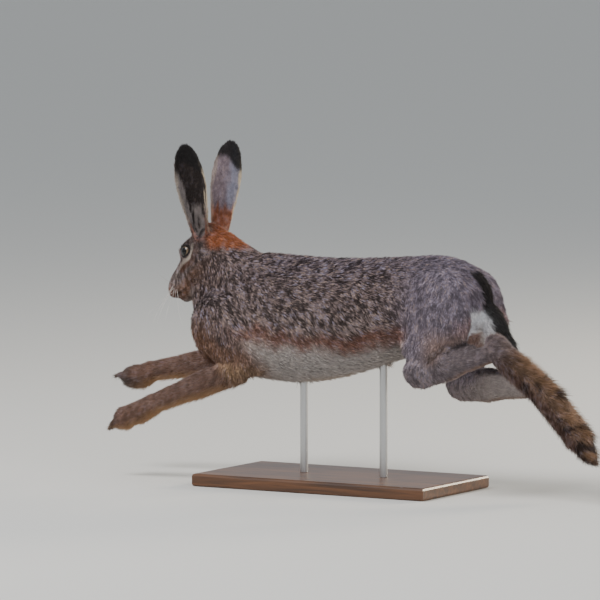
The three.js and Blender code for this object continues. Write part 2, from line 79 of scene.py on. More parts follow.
# Ticking: the size of its clumps, the size and share of its finer spots, its scatter, the values where tufts
# turn dark and pale, and how many of the pale ones are cool
CLUMP_SIZE = np.array([2.6, 6.0, 6.5]) * MM
SPOT_SIZE = 2.0 * MM
SPOT_SHARE = 0.42
TICK_SCATTER = 0.07
DARK_UNDER = 0.50
PALE_OVER = 0.56
COOL_SHARE = 0.45

# A seed for each noise that breaks up the coat
NOISE = {
    "trunk": 3,
    "ear": 4,
    "clump": 5,
    "spot": 6,
    "sole": 9,
    "sole_spot": 10,
    "ragged": 13,
    "face": 14,
    "ear_streak": 15,
    "waves": (21, 22, 23),
    "curls": (24, 25, 26),
}

# Factors that make a random number of a cell's place
CELL_FACTORS = (73856093, 19349663, 83492791)
SEED_FACTOR = 2654435761
MIX_FACTOR = 1274126177

# The head: where its nose is, in millimetres, how far it is turned and how far its nose is lowered
HEAD_AT = np.array([-257.0, 25.0, 235.0])
HEAD_TURN = math.radians(12)
HEAD_DROOP = math.radians(37)

# The head's own axes: x back from the nose, y to its right, z up
HEAD_AXES = np.array(Matrix.Rotation(-HEAD_TURN, 3, "Z") @ Matrix.Rotation(-HEAD_DROOP, 3, "Y"))


def from_head(x, y, z):
    """A place given on the head, in the frame, in millimetres."""
    return HEAD_AT + HEAD_AXES @ np.array([x, y, z], float)


def on_head(points):
    """Places in the frame, in metres, as millimetres on the head: back, off its middle and up."""
    places = (points / MM - HEAD_AT) @ HEAD_AXES
    places[:, 1] = np.abs(places[:, 1])
    return places


# Bones that carry the coat: region, start, end and radius, in millimetres, and how their reach falls off
BONES = [
    ("head", from_head(0, 0, -4), from_head(102, 0, 0), 33),
    ("neck", from_head(102, 0, 0), (-120, 0, 245), 37),
    ("chest", (-190, 0, 197), (-60, 0, 210), 56),
    ("loin", (-60, 0, 210), (80, 0, 224), 56),
    ("rump", (80, 0, 224), (195, 0, 244), 50),
    ("tail", (196, 0, 254), (243, 0, 189), 15),
    ("ear_left", from_head(98, -19, 25), (-214, -22, 421), 15),
    ("ear_right", from_head(98, 19, 25), (-184, 44, 424), 15),
    ("arm_left", (-160, -44, 205), (-124, -45, 152), 24),
    ("arm_right", (-168, 42, 200), (-174, 41, 158), 24),
    ("forearm_left", (-122, -43, 146), (-243, -40, 98), 15),
    ("forearm_right", (-172, 39, 152), (-294, 36, 129), 15),
    ("forepaw_left", (-243, -40, 98), (-310, -39, 64), 12),
    ("forepaw_right", (-294, 36, 129), (-344, 34, 122), 12),
    ("thigh_left", (164, -42, 244), (148, -50, 172), 34),
    ("thigh_right", (163, 42, 241), (150, 48, 150), 34),
    ("shank_left", (143, -52, 158), (249, -50, 187), 18),
    ("shank_right", (147, 50, 134), (256, 46, 133), 18),
    ("foot_left", (249, -50, 187), (345, -46, 104), 13),
    ("foot_right", (256, 46, 133), (330, 42, 47), 13),
]
REGIONS = [bone[0] for bone in BONES]
STARTS = np.array([bone[1] for bone in BONES], float) * MM
ENDS = np.array([bone[2] for bone in BONES], float) * MM
RADII = np.array([bone[3] for bone in BONES], float) * MM
BONE_CORE = 0.15
BONE_REACH = -7.0

# How long the hairs are, how deep the coat lies and how wide and dense its tufts stand, by region
LENGTH, DEPTH, WIDTH, DENSITY = range(4)
COAT = {
    "head": (4.0, 1.0, 0.36, 1.5),
    "neck": (8.0, 2.4, 0.48, 1.2),
    "chest": (9.5, 3.2, 0.51, 1.0),
    "loin": (9.5, 3.2, 0.51, 1.0),
    "rump": (8.0, 3.0, 0.48, 1.0),
    "tail": (13.0, 3.4, 0.66, 1.5),
    "ear": (3.4, 0.4, 0.36, 0.9),
    "arm": (8.5, 2.6, 0.56, 1.1),
    "forearm": (6.5, 1.4, 0.50, 0.9),
    "forepaw": (5.2, 1.2, 0.46, 1.0),
    "thigh": (6.0, 2.4, 0.46, 1.2),
    "shank": (6.0, 1.5, 0.48, 0.9),
    "foot": (7.6, 1.6, 0.54, 1.0),
}

# The two kinds of tuft: long bent locks on the body, short spikes on the head and legs. Each ring of a tuft
# is given by its share of the length, its width and its rise.
SHORT_KINDS = ("head", "ear", "forearm", "forepaw", "shank", "foot")
LOCKS = {
    "count": 94000,
    "lift": (0.08, 0.30),
    "rings": ((0.0, 0.8, 0.0), (0.5, 1.0, 1.0), (1.0, 0.0, 1.25)),
    "faces": (
        (0, 2, 1), (0, 1, 4), (0, 4, 3), (1, 2, 5), (1, 5, 4), (2, 0, 3), (2, 3, 5),
        (3, 4, 6), (4, 5, 6), (5, 3, 6),
    ),
    "tones": (0, 0, 0, 1, 1, 1, 2),
    "spread": ((0, 0), (1, 0), (0.5, 0.1), (0, 0.5), (1, 0.5), (0.5, 0.6), (0.5, 1)),
}
SPIKES = {
    "count": 124000,
    "lift": (0.16, 0.42),
    "rings": ((0.0, 1.0, 0.0), (1.0, 0.0, 1.2)),
    "faces": ((0, 2, 1), (0, 1, 3), (1, 2, 3), (2, 0, 3)),
    "tones": (0, 1, 1, 2),
    "spread": ((0, 0), (1, 0), (0.5, 0.2), (0.5, 1)),
}


def kind_of(region):
    """arm for arm_left, and so on."""
    return region.split("_")[0]


COAT_ROWS = np.array([COAT[kind_of(region)] for region in REGIONS])


def bone_weights(points):
    """How much each bone carries each point, one row a point."""
    weights = np.zeros((len(points), len(BONES)))
    for i in range(len(BONES)):
        run = ENDS[i] - STARTS[i]
        share = np.clip((points - STARTS[i]) @ run / (run @ run), 0, 1)
        away = np.linalg.norm(points - STARTS[i] - share[:, None] * run, axis=1)
        weights[:, i] = (away / RADII[i] + BONE_CORE) ** BONE_REACH
    return weights / weights.sum(axis=1, keepdims=True)


def region_share(weights, *kinds):
    """How far each point belongs to regions of these kinds, from 0 to 1."""
    columns = [i for i, region in enumerate(REGIONS) if kind_of(region) in kinds or region in kinds]
    return weights[:, columns].sum(axis=1)


def hashed(cells, seed):
    """A random number from 0 to 1 for each lattice cell."""
    x, y, z = (cells[:, i].astype(np.int64) * CELL_FACTORS[i] for i in range(3))
    number = x ^ y ^ z ^ (seed * SEED_FACTOR)
    number = (number ^ (number >> 13)) * MIX_FACTOR
    number = number ^ (number >> 16)
    return (number & 0xFFFFFF) / float(0xFFFFFF)


def noise(points, size, seed):
    """Smooth noise from 0 to 1 with features about `size` across, which may differ by axis."""
    at = points / size
    cell = np.floor(at)
    share = at - cell
    share = share * share * (3 - 2 * share)
    total = np.zeros(len(points))
    for corner in np.ndindex(2, 2, 2):
        pick = np.array(corner)
        weight = np.prod(np.where(pick, share, 1 - share), axis=1)
        total += weight * hashed(cell + pick, seed)
    return total


def rgb(code):
    """A colour written as on screen, as light."""
    parts = np.array([int(code[i : i + 2], 16) for i in (0, 2, 4)]) / 255
    return np.where(parts <= 0.04045, parts / 12.92, ((parts + 0.055) / 1.055) ** 2.4)


TONE = {name: rgb(code) for name, code in {
    "ticked": "8d7977",
    "ticked_dark": "221917",
    "ticked_pale": "b59d8f",
    "ticked_cool": "a29bb0",
    "rust": "b3683d",
    "flank": "9b6753",
    "belly": "d3cdc8",
    "fringe": "d6b488",
    # the haunch: its own grey, with the blue tint of painted sky-lit shade
    "haunch": "968c9e",
    "back": "746a78",
    "side": "a9968f",
    "knee": "aba0a8",
    "ham": "b09286",
    "leg": "956f5d",
    "leg_under": "d0a06f",
    "shank": "988a8c",
    "inner": "ddd0ca",
    "jaw": "a5775a",
    "sole": "b28f74",
    "toe": "3f2f28",
    "face": "887873",
    "muzzle": "744b39",
    "nose": "33221c",
    "rim": "14100e",
    "ring": "d2c6ba",
    "cheek": "5e3a27",
    "ear_back": "82737a",
    "ear_white": "a3a3b6",
    # the ears' cups, painted near black as shade
    "ear_inside": "221a18",
    "ear_pale": "958b88",
    "ear_edge": "dccbb0",
    "ear_tip": "131010",
    "tail_top": "15100f",
    "tail_side": "f6f5f8",
    "chest": "8b6751",
}.items()}


def ramp(value, low, high):
    """0 below low, 1 above high and smooth between them."""
    share = np.clip((value - low) / (high - low), 0, 1)
    return share * share * (3 - 2 * share)


def mixed(under, over, share):
    """Colours with `over` laid on them by its share."""
    return under + (over - under) * share[:, None]


def unit(rows):
    """Directions, one row each, brought to a length of 1."""
    return rows / np.maximum(np.linalg.norm(rows, axis=1, keepdims=True), TINY)


def line_distance(places, line):
    """Distance from each place to a bent line."""
    best = np.full(len(places), 1e9)
    for start, end in zip(line[:-1], line[1:]):
        run = np.subtract(end, start)
        share = np.clip((places - start) @ run / (run @ run), 0, 1)
        best = np.minimum(best, np.linalg.norm(places - start - share[:, None] * run, axis=1))
    return best


# Lines of the face on the head's own axes: the pale ring and streak, the brown band under them, the mouth,
# the cleft of the lip, a nostril and the rise of the cheek
RING_LINE = [(80, 15), (78.5, 9.5), (70, 5.6), (60, 6), (53, 8), (38, 8), (27, 3.5)]
BAND_LINE = [(86, 10), (82, 2), (68, -1), (54, 1.5), (43, 2.5)]
MOUTH_LINE = [(0, 0, -9), (0.3, 4, -10.5), (5, 9.2, -13), (14, 13.5, -15.8), (27, 15.5, -18.5)]
CLEFT_LINE = [(-2, 0, 1), (0, 0, -9)]
NOSTRIL_LINE = [(-1.0, 3.0, -1.0), (1.5, 5.8, 2.0)]
CHEEK_LINE = [(54, 22, 8), (44, 19, 3)]

# Folds of the face, in millimetres: the line that each follows, how far off it, its rise and its width
FACE_FOLDS = [
    (MOUTH_LINE, 0.0, -1.5, 1.3),
    (MOUTH_LINE, 3.0, 0.3, 1.4),
    (CLEFT_LINE, 0.0, -1.1, 1.0),
    (NOSTRIL_LINE, 0.0, -2.2, 1.2),
    (CHEEK_LINE, 0.0, 0.5, 2.5),
]

# The eye on the head's own axes, and its opening between the lids: half its length, its height above and
# below the middle, how square its corners are, and how it slants
EYE_AT = np.array([64.5, 18.5, 16.0])
EYE_RADIUS = 8.5
EYE_LOOK = np.array([-0.12, 0.98, 0.15])
EYE_LOOK /= np.linalg.norm(EYE_LOOK)
EYE_OPENING = (9.0, 6.5, 5.9)
EYE_CORNERS = 1.8
EYE_SLANT = 0.06
LID_SLANT = 0.10

# The lids. Their places are given as the opening's, 1 on its edge, and their heights in millimetres: the
# edge, the fold behind it, the crease behind that, and where the lids end.
LID_EDGE = (0.92, 1.08)
LID_HEIGHT = 0.9
LID_FOLD_AT = 1.25
LID_FOLD = 0.7
LID_CREASE_AT = 1.62
LID_CREASE = -0.4
LID_FOLD_WIDTH = 0.16
LID_SHELL_END = 1.12
LIDS_END = 2.2
SOCKET_DEPTH = 1.3

# Where no hair grows: inside this place of the eye's opening, and this near to the nose and the mouth's line
BARE_EYE = 1.2
BARE_NOSE = 4.5
BARE_LIPS = 1.2
NOSE_AT = (-1, 0, 1)

# Values along the body, the streak by the eye, an ear and a shank, as stations and the value at each: where
# the belly's white ends, how strong the red of the flank and the streak are, how wide half an ear is, and
# how high the fold of the knee lies, along which shade is painted
BELLY_EDGE = ([-200, -140, -60, 30, 110, 200], [180, 182, 182, 178, 190, 208])
FLANK_RED = ([-150, -60, 0, 60, 110], [0.9, 0.75, 0.8, 0.9, 0.7])
STREAK_PALE = ([26, 38, 52, 60], [0.15, 0.3, 0.6, 0.95])
EAR_HALF = ([0, 0.15, 0.3, 0.5, 0.68, 0.82, 0.93, 1], [11, 12, 14, 17, 17, 15, 11, 5])
KNEE_FOLD = ([0.15, 0.35, 0.75], [8, 18, 19])

# The ways that the ears' cups, the top of the tail and the soles face
EAR_OPENINGS = {"ear_left": np.array([0.45, -0.89, 0.0]), "ear_right": np.array([-0.6, 0.8, 0.0])}
TAIL_TOP = np.array([0.81, 0.0, 0.59])
SOLE_WAY = np.array([0.64, 0.0, 0.77])


def eye_places(points):
    """How far each point lies off the eye's middle, and from the opening's middle, 1 on the lids' edge."""
    off = on_head(points) - EYE_AT
    away = np.maximum(np.linalg.norm(off, axis=1), TINY)
    ahead = off @ EYE_LOOK
    flat = off - ahead[:, None] * EYE_LOOK
    arc = EYE_RADIUS * np.arccos(np.clip(ahead / away, -1, 1))
    flat *= (arc / np.maximum(np.linalg.norm(flat, axis=1), TINY))[:, None]
    along = flat[:, 0] + EYE_SLANT * flat[:, 2]
    up = flat[:, 2] + LID_SLANT * flat[:, 0]
    half, above, below = EYE_OPENING
    height = np.where(up > 0, above, below)
    square = np.abs(along / half) ** EYE_CORNERS + np.abs(up / height) ** EYE_CORNERS
    opening = square ** (1 / EYE_CORNERS)
    return away, opening + 0.25 * np.maximum(away - EYE_RADIUS - 3, 0)


# In the functions that follow, each `lay` lays one tone over those before it: the tone, its share from 0 to
# 1, and how strongly it is ticked. A ramp's places are in millimetres or are shares themselves.
def lay_body(lay, points, normals, weights):
    """The trunk's colours: ticked back, greyer haunch tinted blue as painted sky-lit shade, reddish flank
    and white belly.
    """
    x, _, z = points.T / MM
    down = -normals[:, 2]
    wander = noise(points, 30 * MM, NOISE["trunk"]) - 0.5
    ragged = noise(points, np.array([5, 5, 14]) * MM, NOISE["ragged"]) - 0.5
    trunk = region_share(weights, "chest", "loin", "rump")
    arm = region_share(weights, "arm")
    haunch = region_share(weights, "thigh", "rump")
    belly_line = np.interp(x, *BELLY_EDGE) + wander * 16 + ragged * 12
    # The haunch's own grey, tinted blue as painted shade lit by the sky
    lay("haunch", haunch * ramp(x, 60, 130) * 0.8, 0.5)
    lay("knee", region_share(weights, "thigh", "shank") * ramp(x, 60, 110) * ramp(205 - z, 0, 50) * 0.6)
    lay("side", trunk * ramp(252 - z, 0, 50) * ramp(120 - x, 0, 60) * 0.5)
    lay("back", trunk * ramp(-down, 0.3, 0.95) * 0.6)
    band = ramp(belly_line + 16 - z, -10, 10)
    lay("flank", band * trunk * np.interp(x, *FLANK_RED), 0.45)
    middle = ramp(x, -185, -130) * ramp(150 - x, 0, 40)
    lay("belly", ramp(belly_line - z, -10, 14) * trunk * middle * 0.85, 0.2)
    lay("chest", (trunk + arm) * ramp(-x, 135, 175) * ramp(232 - z, 0, 50) * 0.85, 0.4)
    lay("fringe", ramp(145 + 0.16 * x + wander * 8 - z, 0, 12) * trunk * 0.55 * ramp(down, 0.2, 0.8), 0.1)
    lay("chest", arm * ramp(196 - z + ragged * 16, 0, 26) * 0.85, 0.35)
    lay("fringe", arm * ramp(160 - z + ragged * 10, 0, 16) * 0.45, 0.2)
    ham = ramp(x, 138, 172) * ramp(220 - z, 0, 30) * ramp(z, 160, 172)
    lay("ham", ramp(haunch, 0.3, 0.8) * ham * 0.85, 0.3)
    lay("rust", region_share(weights, "chest") * ramp(-x, 112, 135) * ramp(z, 272, 288) * 0.35)
    lay("chest", region_share(weights, "neck") * ramp(232 - z, 0, 30) * 0.45, 0.5)


def knee_fold_shade(points):
    """Painted shade: 1 along the fold where each thigh meets the top of its shank, on the outer side."""
    fold = np.zeros(len(points))
    for name, sign in (("shank_left", -1), ("shank_right", 1)):
        i = REGIONS.index(name)
        run = (ENDS[i] - STARTS[i])[[0, 2]]
        off = (points - STARTS[i])[:, [0, 2]]
        along = off @ run / (run @ run)
        above = (off[:, 1] * run[0] - off[:, 0] * run[1]) / np.linalg.norm(run) / MM
        away = np.abs(above - np.interp(along, *KNEE_FOLD))
        ends = ramp(along, 0.08, 0.22) * ramp(0.9 - along, 0, 0.2)
        fold += ramp(7.5 - away, 0, 5) * ends * ramp(sign * points[:, 1] / MM, 34, 42)
    return fold


def lay_legs(lay, points, normals, weights):
    """The legs' colours: reddish forelegs, grey shanks, a painted shade along the fold over them, and
    mottled soles.
    """
    x, y, z = points.T / MM
    down = -normals[:, 2]
    fore = region_share(weights, "forearm", "forepaw")
    shank = region_share(weights, "shank")
    foot = region_share(weights, "foot")
    soleward = normals @ SOLE_WAY
    lay("leg", fore, 0.45)
    lay("leg_under", fore * ramp(down, 0.3, 0.9) * 0.8, 0.15)
    lay("shank", shank * 0.85, 0.35)
    inner = ramp(-normals[:, 1] * np.sign(y), 0.0, 0.7) * ramp(down, -0.9, -0.6)
    lay("inner", shank * inner * 0.8, 0.2)
    # Painted shade: the fold over each shank is darkened, as the shade under the thigh's edge
    lay("ticked_dark", knee_fold_shade(points) * 0.72)
    lay("leg_under", shank * ramp(down, 0.6, 0.95) * 0.35, 0.2)
    lay("leg", foot * 0.7, 0.5)
    mottle = noise(points, 10 * MM, NOISE["sole"]) * 0.7
    mottle += noise(points, 5 * MM, NOISE["sole_spot"]) * 0.3
    lay("sole", foot * ramp(soleward, -0.3, 0.4) * ramp(x - z, 40, 110) * 0.8, 0.5)
    lay("leg_under", foot * ramp(soleward, 0.5, 0.9) * 0.35, 0.3)
    lay("toe", foot * ramp(mottle, 0.46, 0.57) * ramp(x - z, 60, 130) * 0.88)
    lay("toe", region_share(weights, "forepaw") * ramp(-x - np.where(y < 0, 285, 305), 0, 22) * 0.6)
    lay("toe", region_share(weights, "forepaw_right") * ramp(down, -0.2, 0.5) * 0.75)


def lay_head(lay, points, weights):
    """The head's colours: grey brown face, pale ring and streak by the eye, dark nose and rust nape."""
    head = region_share(weights, "head")
    face = on_head(points)
    flat = face[:, [0, 2]]
    hx, side, hz = face.T
    wander = 4 * (noise(points, 6 * MM, NOISE["face"]) - 0.5)
    lay("face", head, 0.8)
    throat = region_share(weights, "neck") * ramp(84 - hx, 0, 20) * ramp(-hz - 2, 0, 14)
    lay("jaw", np.maximum(head * ramp(-hz - 4 + wander, 0, 14) * ramp(hx, 4, 24), throat) * 0.8, 0.5)
    lay("muzzle", head * ramp(20 - hx, 0, 14) * ramp(5 - hz + wander, 0, 9) * 0.85, 0.3)
    lay("belly", head * ramp(-hz - 21 + wander, 0, 8) * ramp(60 - hx, 0, 20) * 0.7, 0.1)
    beside = head * ramp(side, 9, 13)
    off_band = line_distance(flat, BAND_LINE)
    lay("cheek", beside * ramp(6.6 - off_band + wander * 0.6, 0, 3) * 0.9, 0.25)
    _, opening = eye_places(points)
    fading = np.interp(hx, *STREAK_PALE) * ramp(opening, 1.35, 1.5)
    off_ring = line_distance(flat, RING_LINE)
    lay("ring", beside * ramp(4.0 - off_ring + wander * 0.5, 0, 2.6) * fading, 0.0)
    lay("rim", ramp(np.where(hz > 16, 1.42, 1.34) - opening, 0, 0.14), 0.0)
    lips = line_distance(face, MOUTH_LINE)
    lay("nose", head * ramp(3.6 - lips, 0, 2) * 0.5, 0.2)
    lay("rim", ramp(1.8 - lips, 0, 1.2) * 0.75, 0.0)
    behind = hx - 0.35 * np.maximum(-hz, 0) + 16 * ramp(hz, 8, 20)
    nape = ramp(behind, 95, 107) * ramp(hz + 14 + (hx - 114) * 0.67 + wander * 1.5, -4, 8)
    lay("rust", region_share(weights, "neck", "head") * nape * 0.95, 0.35)
    lay("nose", ramp(5.5 - np.hypot(hx + 1, np.hypot(side, (hz - 1) * 1.1)), 0, 2.5) * 0.85, 0.0)


def lay_ears(lay, points, normals, weights):
    """The ears' colours: cups painted dark as shade, grey backs, cream edges and black tips."""
    wander = noise(points, 22 * MM, NOISE["ear"]) - 0.5
    for name, opens in EAR_OPENINGS.items():
        share = region_share(weights, name)
        i = REGIONS.index(name)
        axis = ENDS[i] - STARTS[i]
        length = np.linalg.norm(axis)
        axis = axis / length
        along = (points - STARTS[i]) @ axis / length
        across = np.cross(axis, opens)
        across *= -np.sign(across[0]) / np.linalg.norm(across)
        half = np.interp(along, *EAR_HALF) * MM
        streak = noise(points, np.array([2.5, 2.5, 18]) * MM, NOISE["ear_streak"]) - 0.5
        forward = (points - STARTS[i]) @ across / half + streak * 0.35
        inside = share * ramp(normals @ opens, -0.15, 0.25)
        outside = share - inside
        lay("ear_back", share, 0.35)
        lay("ear_white", outside * ramp(-forward, -0.2, 0.5) * ramp(along, 0.15, 0.35) * 0.8, 0.2)
        # Painted shade: the side of each ear that faces its opening is painted near black, as the shade
        # inside the cup
        lay("ear_inside", inside, 0.1)
        strip = ramp(forward, 0.42 + 0.3 * along, 0.62 + 0.3 * along) * ramp(along, 0.0, 0.12)
        lay("ear_pale", inside * strip * ramp(0.75 - along, 0, 0.15) * 0.8, 0.2)
        lay("ear_pale", inside * ramp(0.34 - along, 0, 0.12) * ramp(streak, -0.1, 0.15) * 0.7, 0.2)
        lay("rust", outside * ramp(0.30 - along + streak * 0.2, 0, 0.14) * 0.85, 0.5)
        edge = ramp(np.abs(forward), 0.88, 1.0) * np.where(forward < 0, 0.9, 0.25)
        lay("ear_edge", share * edge, 0.05)
        black = along + wander * 0.05 + streak * 0.06 + 0.16 * ramp(-forward, -0.4, 0.9)
        lay("ear_tip", share * ramp(black, 0.78, 0.87) * 0.96, 0.02)


def lay_tail(lay, points, normals, weights):
    """The tail's colours: black above and white beneath, with white fur beside it."""
    x, y, z = points.T / MM
    tail = region_share(weights, "tail")
    top = np.where(y > 0, 222, 240)
    beside = ramp(x, 180, 192) * ramp(46 - np.abs(y), 0, 10) * ramp(top - z, 0, 12) * ramp(z, 172, 184)
    beside = beside * region_share(weights, "thigh", "rump", "tail", "loin")
    lay("tail_side", np.maximum(tail * ramp(250 - z, 0, 15), np.minimum(beside * 1.3, 0.95)), 0.03)
    i = REGIONS.index("tail")
    root, tip = STARTS[i] - 0.35 * (ENDS[i] - STARTS[i]), ENDS[i]
    near = line_distance(points, [root, tip]) / MM
    stripe = ramp(normals @ TAIL_TOP, 0.05, 0.35) * ramp(15.5 - np.abs(y), 0, 4) * ramp(26 - near, 0, 5)
    lay("tail_top", stripe * ramp(x, 184, 192) * 0.97, 0.03)


def markings(points, normals):
    """The coat's colour at each point of the skin and how strongly it is ticked there."""
    weights = bone_weights(points)
    colour = np.tile(TONE["ticked"], (len(points), 1))
    ticking = np.ones(len(points))

    def lay(tone, share, tick=None):
        nonlocal colour, ticking
        share = np.clip(share, 0, 1)
        colour = mixed(colour, TONE[tone], share)
        if tick is not None:
            ticking = ticking + (tick - ticking) * share

    lay_body(lay, points, normals, weights)
    lay_legs(lay, points, normals, weights)
    lay_tail(lay, points, normals, weights)
    lay_head(lay, points, weights)
    lay_ears(lay, points, normals, weights)
    return colour, ticking


def lie(points, normals):
    """The way the hairs lie: from the nose to the tail and down each limb, along the skin."""
    weights = bone_weights(points)
    way = weights @ unit(ENDS - STARTS)
    trunk = region_share(weights, "chest", "loin", "rump", "neck", "thigh", "arm")
    way[:, 2] -= HANG * trunk * (1 - np.abs(normals[:, 2]))
    waves = np.stack([noise(points, WAVE_SIZE, seed) for seed in NOISE["waves"]], axis=1) - 0.5
    curls = np.stack([noise(points, CURL_SIZE, seed) for seed in NOISE["curls"]], axis=1) - 0.5
    way += WAVE_TURN * waves + CURL_TURN * curls * trunk[:, None]
    way -= normals * np.sum(way * normals, axis=1, keepdims=True)
    return unit(way)


def clear_selection():
    """Nothing selected and no active object."""
    bpy.ops.object.select_all(action="DESELECT")
    bpy.context.view_layer.objects.active = None


def activate(piece):
    """This piece alone selected and active."""
    clear_selection()
    piece.select_set(True)
    bpy.context.view_layer.objects.active = piece


def new_piece(name, mesh):
    """A mesh as a piece of the scene."""
    piece = bpy.data.objects.new(name, mesh)
    bpy.context.scene.collection.objects.link(piece)
    return piece


def flesh_names():
    """The nodes of flesh, which the skin replaces."""
    return [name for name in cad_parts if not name.startswith(("stand_", "eye_"))]


def rows_of(items, key, width, kind=float):
    """One value of every item of a mesh, one row each."""
    values = np.empty(len(items) * width, dtype=kind)
    items.foreach_get(key, values)
    return values.reshape(-1, width)


def vertex_places(mesh):
    """Every vertex's place."""
    return rows_of(mesh.vertices, "co", 3)


def vertex_normals(mesh):
    """Every vertex's normal."""
    return rows_of(mesh.vertex_normals, "vector", 3)


def paint(mesh, colours):
    """Colours on a mesh's vertices, as the attribute that the coat's materials read."""
    layer = mesh.attributes.new("tint", "FLOAT_COLOR", "POINT")
    data = np.ones((len(mesh.vertices), 4))
    data[:, :3] = colours
    layer.data.foreach_set("color", data.ravel())


def make_skin():
    """One skin over all the flesh, smooth where the nodes meet, with a finely shaped face."""
    whole = bmesh.new()
    for name in [*flesh_names(), "eye_left", "eye_right"]:
        node = bmesh.new()
        node.from_mesh(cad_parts[name].data)
        bmesh.ops.remove_doubles(node, verts=node.verts, dist=TINY)
        node.normal_update()
        for vertex in node.verts:
            vertex.co += vertex.normal * FLESH_GROWTH
        copy = bpy.data.meshes.new("flesh")
        node.to_mesh(copy)
        whole.from_mesh(copy)
        node.free()
        bpy.data.meshes.remove(copy)
    mesh = bpy.data.meshes.new("skin")
    whole.to_mesh(mesh)
    whole.free()
    skin = new_piece("skin", mesh)
    activate(skin)
    mesh.remesh_voxel_size = SKIN_VOXEL
    bpy.ops.object.voxel_remesh()
    smooth_skin(skin)
    refine(skin, lambda centres: region_share(bone_weights(centres), "head") > 0.5)
    refine(skin, lambda centres: eye_places(centres)[1] < LIDS_END)
    shape_face(skin)
    return skin


def evened(mesh, hold, passes):
    """Places evened out over their neighbours, in and then back out, so that nothing shrinks."""
    places = vertex_places(mesh)
    edges = rows_of(mesh.edges, "vertices", 2, np.int32)
    count = len(places)
    links = np.bincount(edges.ravel(), minlength=count)
    for _ in range(passes):
        for pull in (PULL_IN, PUSH_OUT):
            sums = [
                np.bincount(edges[:, 0], places[edges[:, 1], axis], count)
                + np.bincount(edges[:, 1], places[edges[:, 0], axis], count)
                for axis in range(3)
            ]
            mean = np.stack(sums, axis=1) / links[:, None]
            places = places + (mean - places) * (pull * hold)[:, None]
    return places


def set_places(mesh, places):
    """Moves every vertex of a mesh."""
    mesh.vertices.foreach_set("co", places.ravel())
    mesh.update()


def smooth_skin(skin):
    """Smooths the creases between the nodes, least on the ears, and sinks the skin by the coat's depth."""
    weights = bone_weights(vertex_places(skin.data))
    hold = 1 - EAR_HOLD * region_share(weights, "ear") - HEAD_HOLD * region_share(weights, "head")
    set_places(skin.data, evened(skin.data, hold, SMOOTHING))
    depth = (weights @ COAT_ROWS[:, DEPTH]) * MM
    set_places(skin.data, vertex_places(skin.data) - vertex_normals(skin.data) * depth[:, None])


def refine(skin, chosen):
    """Splits the chosen faces of the skin in four."""
    mesh = bmesh.new()
    mesh.from_mesh(skin.data)
    centres = np.array([face.calc_center_median() for face in mesh.faces])
    edges = {edge for face, take in zip(mesh.faces, chosen(centres)) if take for edge in face.edges}
    bmesh.ops.subdivide_edges(mesh, edges=list(edges), cuts=1, use_grid_fill=True)
    mesh.to_mesh(skin.data)
    mesh.free()
    head = region_share(bone_weights(vertex_places(skin.data)), "head")
    set_places(skin.data, evened(skin.data, head, SPLIT_SMOOTHING))


def dip(distance, width):
    """1 along the middle of a fold, falling off over its width."""
    return np.exp(-((distance / width) ** 2))


def shape_face(skin):
    """The lids over each eye, the nostrils, the cleft of the lip, the mouth and the folds round them."""
    places = vertex_places(skin.data)
    normals = vertex_normals(skin.data)
    head = region_share(bone_weights(places), "head")
    face = on_head(places)
    rise = np.zeros(len(places))
    for line, off, height, width in FACE_FOLDS:
        rise += height * dip(line_distance(face, line) - off, width)
    places += normals * (rise * head * MM)[:, None]

    away, opening = eye_places(places)
    lid = ramp(opening, *LID_EDGE)
    fold = LID_HEIGHT + LID_FOLD * dip(opening - LID_FOLD_AT, LID_FOLD_WIDTH)
    fold += LID_CREASE * dip(opening - LID_CREASE_AT, LID_FOLD_WIDTH)
    shell = EYE_RADIUS - SOCKET_DEPTH + lid * (SOCKET_DEPTH + fold)
    wanted = np.where(opening < LID_SHELL_END, shell, np.maximum(away, EYE_RADIUS + fold))
    wanted = np.where(opening > LIDS_END, away, wanted)
    face = (places / MM - HEAD_AT) @ HEAD_AXES
    centre = EYE_AT * np.stack([np.ones(len(face)), np.sign(face[:, 1]), np.ones(len(face))], axis=1)
    face = centre + (face - centre) * (wanted / np.maximum(away, TINY))[:, None]
    set_places(skin.data, (HEAD_AT + face @ HEAD_AXES.T) * MM)


def unwrap(piece):
    """The skin laid flat, as the map that the coat is baked on."""
    activate(piece)
    piece.data.uv_layers.new(name="OFBake")
    bpy.ops.object.mode_set(mode="EDIT")
    bpy.ops.mesh.select_all(action="SELECT")
    bpy.ops.uv.smart_project(angle_limit=ISLAND_ANGLE, island_margin=ISLAND_GAP)
    bpy.ops.object.mode_set(mode="OBJECT")


def nodes_of(name):
    """A new material, its node tree and its shader."""
    material = bpy.data.materials.new(name)
    material.use_nodes = True
    tree = material.node_tree
    return material, tree, tree.nodes["Principled BSDF"]


def object_noise(tree, scale, detail=2, stretch=None):
    """Noise in the piece's own coordinates, stretched where asked, as a value from 0 to 1."""
    where = tree.nodes.new("ShaderNodeTexCoord").outputs["Object"]
    if stretch:
        mapping = tree.nodes.new("ShaderNodeMapping")
        mapping.inputs["Scale"].default_value = stretch
        tree.links.new(where, mapping.inputs["Vector"])
        where = mapping.outputs["Vector"]
    grain = tree.nodes.new("ShaderNodeTexNoise")
    grain.inputs["Scale"].default_value = scale
    grain.inputs["Detail"].default_value = detail
    tree.links.new(where, grain.inputs["Vector"])
    return grain.outputs["Fac"]


def between(tree, value, low, high):
    """A value from 0 to 1, brought between two others."""
    level = tree.nodes.new("ShaderNodeMapRange")
    level.inputs["To Min"].default_value = low
    level.inputs["To Max"].default_value = high
    tree.links.new(value, level.inputs["Value"])
    return level.outputs["Result"]


